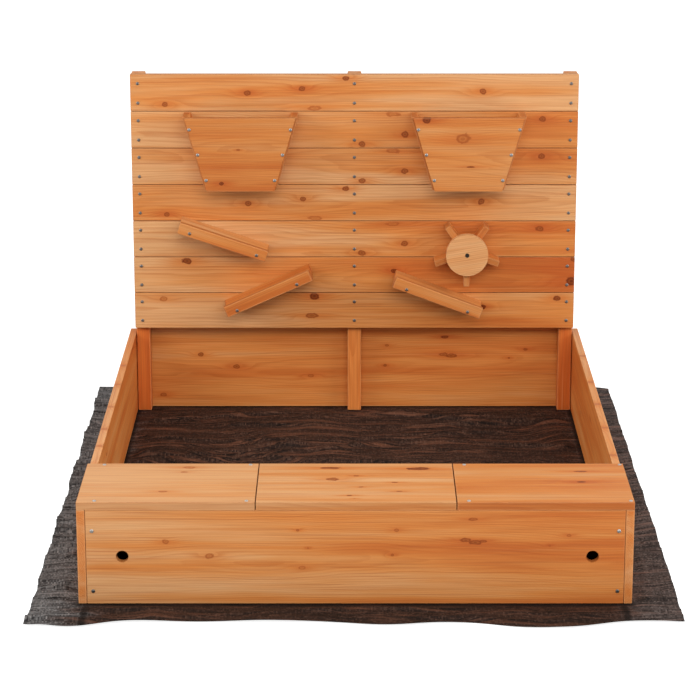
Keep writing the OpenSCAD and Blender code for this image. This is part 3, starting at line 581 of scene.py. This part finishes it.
# ------------------------------------------------------------------ ground sheet
def sheet():
    """A loose woven sheet: flat under the boards, creased where it is free, with wavy edges."""
    lo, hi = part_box("ground_sheet")
    nx, ny = 330, 400
    xs = np.linspace(lo.x, hi.x, nx)
    ys = np.linspace(lo.y, hi.y, ny)
    gx, gy = np.meshgrid(xs, ys, indexing="ij")
    rng = np.random.RandomState(4)

    def clear_of(names, soft):
        d = np.full(gx.shape, 9.0)
        for n in names:
            a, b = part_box(n)
            dx = np.maximum(np.maximum(a.x - gx, gx - b.x), 0)
            dy = np.maximum(np.maximum(a.y - gy, gy - b.y), 0)
            d = np.minimum(d, np.hypot(dx, dy))
        t = np.clip((d - 0.004) / soft, 0, 1)
        return t * t * (3 - 2 * t)

    feet = ["side_board_left", "side_board_right", "front_board", "back_board", "bench_rear_board",
            "wall_post_left", "wall_post_centre", "wall_post_right", "front_corner_post_left", "front_corner_post_right"]
    free = clear_of(feet, 0.050)
    a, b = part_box("side_board_left")[0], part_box("side_board_right")[1]
    outside = (gx < a.x) | (gx > b.x) | (gy < a.y) | (gy > b.y)
    z = np.zeros(gx.shape)

    def crease(cx, cy, ang, length, width, high, curve):
        ca, sa = math.cos(ang), math.sin(ang)
        s = (gx - cx) * ca + (gy - cy) * sa
        t = -(gx - cx) * sa + (gy - cy) * ca + curve * (s / length) ** 2 * length
        w = width * (0.7 + 0.6 * np.abs(s) / length)
        return high * np.exp(-np.abs(t / w) ** 1.5) * np.exp(-(s / (length * 0.5)) ** 4)

    # inside the box: long creases that mostly run from side to side
    for _ in range(120):
        z += crease(rng.uniform(-0.6, 0.6), rng.uniform(-0.45, 0.68), rng.normal(0, 0.13), rng.uniform(0.20, 0.70),
                    rng.uniform(0.005, 0.013), rng.uniform(-0.0010, 0.0095), rng.normal(0, 0.08)) * (~outside)
    # along the left and right edges: ridges that run outwards
    for s in (-1, 1):
        y = lo.y + 0.03
        while y < hi.y:
            z += crease(s * rng.uniform(0.65, 0.70), y, rng.normal(0, 0.13) + s * 0.05, rng.uniform(0.16, 0.28),
                        rng.uniform(0.004, 0.009), rng.uniform(0.0035, 0.0105) * (0.5 if s > 0 else 1.0), rng.normal(0, 0.2)) * outside
            y += rng.uniform(0.028, 0.085)
    # in front and behind: slanting folds from under the box
    for _ in range(22):
        x = rng.uniform(-0.68, 0.68)
        z += crease(x, lo.y + rng.uniform(0.02, 0.09), rng.normal(0.0, 0.06) + (0.10 if x < 0 else -0.09), rng.uniform(0.22, 0.55), rng.uniform(0.005, 0.010),
                    rng.uniform(0.0015, 0.0045), rng.normal(0, 0.12)) * outside
    for _ in range(16):
        z += crease(rng.uniform(-0.68, 0.68), hi.y - rng.uniform(0.02, 0.13), rng.normal(0, 0.3), rng.uniform(0.2, 0.5), rng.uniform(0.007, 0.013),
                    rng.uniform(0.002, 0.006), rng.normal(0, 0.15)) * outside
    # broad swells
    low = np.array([[mnoise.noise(Vector((x * 5.2, y * 8.5, 3.3))) for y in ys[::5]] for x in xs[::5]])
    ix = np.clip(np.arange(nx) / 5.0, 0, low.shape[0] - 1.001)
    iy = np.clip(np.arange(ny) / 5.0, 0, low.shape[1] - 1.001)
    x0, y0 = ix.astype(int), iy.astype(int)
    fx, fy = (ix - x0)[:, None], (iy - y0)[None, :]
    swell = (low[np.ix_(x0, y0)] * (1 - fx) * (1 - fy) + low[np.ix_(x0 + 1, y0)] * fx * (1 - fy)
             + low[np.ix_(x0, y0 + 1)] * (1 - fx) * fy + low[np.ix_(x0 + 1, y0 + 1)] * fx * fy)
    z += np.where(outside, 0.0050, 0.0030) * (0.35 + swell)
    # the outer edge lifts in slow waves
    rim = np.minimum(np.minimum(gx - lo.x, hi.x - gx), np.minimum(gy - lo.y, hi.y - gy))
    lift = np.exp(-(rim / 0.045) ** 2)
    wave = 0.5 + 0.5 * np.sin(gx * 15.0 + 1.9 + 1.5 * np.sin(gx * 4.1)) * np.cos(gy * 11.0)
    z += lift * 0.003 * wave
    z = np.maximum(z, 0.0) * free
    # the outline wanders in plan: three slow bulges along the front, small waves elsewhere
    side = np.exp(-((b.x + 0.110 - np.abs(gx)) / 0.10) ** 2) * np.clip((np.abs(gx) - b.x) / 0.045, 0, 1)
    px = gx + np.sign(gx) * side * (-0.008 + (0.0022 * np.sin(gy * 19.0 + np.sign(gx)) + 0.0016 * np.sin(gy * 47.0 + 2.0 * np.sign(gx))) * np.where(gx > 0, 0.35, 1.0))
    bulge = (0.032 * np.exp(-((gx + 0.610) / 0.085) ** 2) + 0.020 * np.exp(-((gx - 0.080) / 0.090) ** 2)
             + 0.034 * np.exp(-(np.abs(gx - 0.420) / 0.125) ** 3) + 0.012 * np.exp(-((gx + 0.71) / 0.03) ** 2)
             + 0.004 * np.exp(-((gx - 0.71) / 0.03) ** 2)) - 0.018
    t = np.clip((a.y - 0.01 - gy) / (a.y - 0.01 - lo.y), 0, 1)
    py = gy - t * bulge
    tb = np.clip((gy - 0.75) / (hi.y - 0.75), 0, 1)
    py = py + tb * (-0.016 * np.clip((-gx + 0.3) / 1.0, 0, 1) + 0.002 * np.sin(gx * 13.0))
    # cut the rear right corner a little
    corner = np.clip((gx - 0.64) / 0.07, 0, 1) * tb
    py = py - 0.018 * corner ** 2
    verts = np.stack([px, py, z + 0.0009], -1).reshape(-1, 3)
    faces = [(r * ny + c, (r + 1) * ny + c, (r + 1) * ny + c + 1, r * ny + c + 1) for r in range(nx - 1) for c in range(ny - 1)]
    me = bpy.data.meshes.new("ground_sheet_cloth")
    me.from_pydata(verts.tolist(), [], faces)
    me.update()
    me.polygons.foreach_set("use_smooth", [True] * len(me.polygons))
    o = bpy.data.objects.new("ground_sheet_cloth", me)
    scene.collection.objects.link(o)
    sol = o.modifiers.new("thickness", "SOLIDIFY")
    sol.thickness = 0.0007
    sol.offset = 0.0
    mat = bpy.data.materials.new("woven_sheet")
    mat.use_nodes = True
    k = Net(mat.node_tree)
    k.n.clear()
    out = k.n.new("ShaderNodeOutputMaterial")
    bsdf = k.n.new("ShaderNodeBsdfPrincipled")
    k.l.new(bsdf.outputs[0], out.inputs[0])
    tc = k.n.new("ShaderNodeTexCoord").outputs["Object"]
    x, y, zz = k.split(tc)
    tx, ty = 0.0034, 0.0062                       # tape widths
    wobx = k.mul(k.sub(k.noise(k.v("MULTIPLY", tc, (20.0, 3.0, 1.0)), 1.0), 0.5), 0.0022)
    woby = k.mul(k.sub(k.noise(k.v("MULTIPLY", tc, (3.0, 20.0, 1.0)), 1.0), 0.5), 0.0030)
    cx = k.div(k.add(x, wobx), tx)
    cy = k.div(k.add(y, woby), ty)
    fx = k.m("FLOOR", cx)
    fy = k.m("FLOOR", cy)
    par = k.m("FLOORED_MODULO", k.add(fx, fy), 2.0)
    arcx = k.m("ABSOLUTE", k.m("SINE", k.mul(cx, math.pi)))
    arcy = k.m("ABSOLUTE", k.m("SINE", k.mul(cy, math.pi)))
    # warp over weft in one cell, weft over warp in the next
    over = k.add(k.mul(par, k.add(k.mul(arcx, 0.7), k.mul(arcy, 0.5))),
                 k.mul(k.sub(1.0, par), k.add(k.mul(arcy, 0.7), k.mul(arcx, 0.5))))
    wa = k.n.new("ShaderNodeTexWhiteNoise"); wa.noise_dimensions = "1D"; k.put(wa.inputs["W"], fx)
    wb = k.n.new("ShaderNodeTexWhiteNoise"); wb.noise_dimensions = "1D"; k.put(wb.inputs["W"], k.add(fy, 517.0))
    wc = k.n.new("ShaderNodeTexWhiteNoise"); wc.noise_dimensions = "2D"; k.put(wc.inputs["Vector"], k.xyz(fx, fy, 0.0))
    tape = k.add(k.mul(par, wa.outputs["Value"]), k.mul(k.sub(1.0, par), wb.outputs["Value"]))
    cell = wc.outputs["Value"]
    cell = k.mul(cell, k.mul(cell, cell))
    fuzz = k.noise(k.v("MULTIPLY", tc, (420.0, 160.0, 420.0)), 2.0, 0.65)
    cloud = k.noise(k.v("MULTIPLY", tc, (3.0, 9.5, 1.0)), 4.0, 0.6)
    # long folds from side to side, a little slanted, with thin dark creases in them; below, their crests get a painted
    # highlight and their troughs and creases painted shade
    slant = k.add(y, k.mul(k.noise(k.v("MULTIPLY", tc, (2.6, 1.6, 1.0)), 2.0), 0.24))
    lie = k.xyz(k.mul(x, 3.6), k.mul(slant, 50.0), 0.0)
    fold = k.noise(lie, 3.0, 0.62, dist=0.5)
    lie2 = k.xyz(k.mul(x, 7.0), k.mul(slant, 150.0), 4.0)
    fold2 = k.noise(lie2, 2.0, 0.6, dist=0.3)
    painted_crease_shade = k.mul(k.step(k.m("ABSOLUTE", k.sub(fold, 0.53)), 0.020, 0.002), k.step(cloud, 0.36, 0.56))
    # painted light: beside the box the sheet is pale grey, a painted reflection of the white surroundings, stronger on
    # the left; inside and in front of the box it is warm brown, painted bounce light from the orange boards
    ragged = k.mul(k.sub(k.noise(k.v("MULTIPLY", tc, (9.0, 30.0, 1.0)), 3.0, 0.6), 0.5), 0.22)
    painted_reflection_mix = k.m("MULTIPLY", k.step(k.add(k.m("ABSOLUTE", x), ragged), b.x - 0.06, b.x + 0.06), k.line(x, -0.7, 0.7, 1.0, 0.38))
    dim = k.mix(painted_reflection_mix, (0.0140, 0.0072, 0.0050), (0.0160, 0.0145, 0.0142))
    pale = k.mix(painted_reflection_mix, (0.0400, 0.0185, 0.0118), (0.1050, 0.0985, 0.0965))
    base = k.mix(tape, dim, pale)
    base = k.mix(k.mul(cell, 0.50), base, k.mix(painted_reflection_mix, (0.150, 0.080, 0.055), (0.32, 0.305, 0.295)))
    base = k.mix(k.mul(k.step(over, 0.30, 0.08), 0.8), base, (0.004, 0.0035, 0.003))
    base = k.mix(k.mul(k.step(fuzz, 0.60, 0.74), 0.22), base, k.mix(painted_reflection_mix, (0.070, 0.036, 0.024), (0.22, 0.21, 0.20)))
    base = k.mix(k.mul(k.step(fuzz, 0.40, 0.28), 0.40), base, (0.005, 0.004, 0.0035))
    # painted highlights on the fold crests, warm inside the box as a painted reflection of the boards, then painted
    # shade in the troughs and creases
    base = k.mix(k.mul(k.step(fold, 0.50, 0.68), 0.50), base, k.mix(painted_reflection_mix, (0.200, 0.076, 0.040), (0.205, 0.195, 0.190)))
    base = k.mix(k.mul(k.step(fold2, 0.53, 0.68), 0.50), base, k.mix(painted_reflection_mix, (0.135, 0.056, 0.032), (0.21, 0.20, 0.195)))
    base = k.mix(k.mul(k.step(fold2, 0.47, 0.34), k.line(painted_reflection_mix, 0.0, 1.0, 0.62, 0.45)), base, (0.0045, 0.0035, 0.003))
    base = k.mix(k.mul(k.step(fold, 0.46, 0.30), 0.45), base, (0.007, 0.0055, 0.005))
    base = k.mix(k.mul(painted_crease_shade, 0.90), base, (0.003, 0.0025, 0.002))
    def beside_line(value, at, reach):
        return k.step(k.m("ABSOLUTE", k.sub(value, at)), reach, reach * 0.15)

    # painted contact shadow: darker bands on the sheet along the foot of the front, back and side boards
    inner_x = k.step(k.m("ABSOLUTE", x), b.x + 0.012, b.x)
    painted_foot_shadow = k.mul(k.m("MAXIMUM", beside_line(y, a.y - 0.004, 0.020), beside_line(y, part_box("back_board")[0].y - 0.002, 0.012)), inner_x)
    painted_foot_shadow = k.m("MAXIMUM", painted_foot_shadow, k.mul(beside_line(k.m("ABSOLUTE", x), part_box("side_board_right")[0].x, 0.014), k.step(k.m("ABSOLUTE", x), b.x, b.x - 0.01)))
    base = k.mix(k.mul(painted_foot_shadow, 0.80), base, (0.004, 0.0028, 0.0020))
    ahead = k.mul(k.step(y, a.y + 0.005, a.y - 0.005), k.step(k.m("ABSOLUTE", x), b.x + 0.06, b.x - 0.06))
    base = k.mix(k.mul(ahead, 0.36), base, (0.007, 0.0045, 0.0035))
    # pale marker threads that run from front to back
    mark = k.m("FLOORED_MODULO", k.add(x, 0.012), 0.145)
    mark = k.mul(k.step(mark, 0.0022, 0.0012), k.step(k.m("ABSOLUTE", x), 0.55, 0.60))
    base = k.mix(k.mul(mark, 0.08), base, (0.36, 0.34, 0.32))
    k.put(bsdf.inputs["Base Color"], base)
    k.put(bsdf.inputs["Roughness"], k.add(k.line(tape, 0.0, 1.0, 0.62, 0.78), k.mul(fuzz, 0.1)))
    bsdf.inputs["Specular IOR Level"].default_value = 0.10
    bsdf.inputs["Sheen Weight"].default_value = 0.0
    bsdf.inputs["Sheen Roughness"].default_value = 0.5
    k.put(bsdf.inputs["Normal"], k.bump(k.add(k.add(over, k.mul(fuzz, 0.3)), k.add(k.mul(fold, 9.0), k.mul(fold2, 3.0))), 1.0, 0.0006))
    me.materials.append(mat)
    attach(o, "box")
    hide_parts("ground_sheet")
    return o


sheet()

# ------------------------------------------------------------------ studio
floor_me = bpy.data.meshes.new("studio_floor")
bm = bmesh.new()
bmesh.ops.create_grid(bm, x_segments=1, y_segments=1, size=30.0)
bm.to_mesh(floor_me)
bm.free()
floor = bpy.data.objects.new("studio_floor", floor_me)
floor.location = (0, 0, -0.0006)
scene.collection.objects.link(floor)
fm = bpy.data.materials.new("studio_floor")
fm.use_nodes = True
fb = fm.node_tree.nodes["Principled BSDF"]
fb.inputs["Base Color"].default_value = (0.55, 0.55, 0.55, 1)
fb.inputs["Roughness"].default_value = 0.9
fb.inputs["Specular IOR Level"].default_value = 0.1
fb.inputs["Emission Color"].default_value = (1, 1, 1, 1)
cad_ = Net(fm.node_tree)
seen = fm.node_tree.nodes.new("ShaderNodeLightPath").outputs["Is Camera Ray"]
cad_.put(fb.inputs["Emission Strength"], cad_.mul(seen, 0.85))
floor_me.materials.append(fm)

world = bpy.data.worlds.new("studio")
scene.world = world
world.use_nodes = True
wn = Net(world.node_tree)
bg = world.node_tree.nodes["Background"]
bg.inputs[0].default_value = (1.0, 1.0, 1.0, 1)
wn.put(bg.inputs[1], wn.line(world.node_tree.nodes.new("ShaderNodeLightPath").outputs["Is Camera Ray"], 0.0, 1.0, 0.68, 1.0))


def area(name, where, target, size, power, color=(1, 1, 1)):
    d = bpy.data.lights.new(name, "AREA")
    d.shape = "RECTANGLE"
    d.size, d.size_y = size
    d.energy = power
    d.color = color
    o = bpy.data.objects.new(name, d)
    o.location = where
    o.rotation_euler = (Vector(target) - Vector(where)).to_track_quat("-Z", "Y").to_euler()
    scene.collection.objects.link(o)
    return o


area("key", (0.4, -4.7, 3.4), (0.0, 0.3, 0.4), (4.2, 1.6), 148.0, (1.0, 0.985, 0.965))
area("side_left", (-3.6, -1.2, 2.1), (0.2, 0.1, 0.1), (2.2, 1.6), 70.0)
area("side_right", (3.6, -1.2, 2.1), (-0.2, 0.1, 0.1), (2.2, 1.6), 70.0)

cam = bpy.data.cameras.new("camera")
cam.sensor_fit = "HORIZONTAL"
cam.sensor_width = 36.0
cam.lens = 135.87
cam.clip_end = 100.0
co = bpy.data.objects.new("camera", cam)
co.location = (-0.0115, -6.1075, 2.0869)
co.rotation_euler = (math.radians(90 - 15.75), 0, 0)
scene.collection.objects.link(co)
scene.camera = co

scene.view_settings.view_transform = "Standard"
scene.view_settings.look = "None"
scene.view_settings.exposure = 0.0
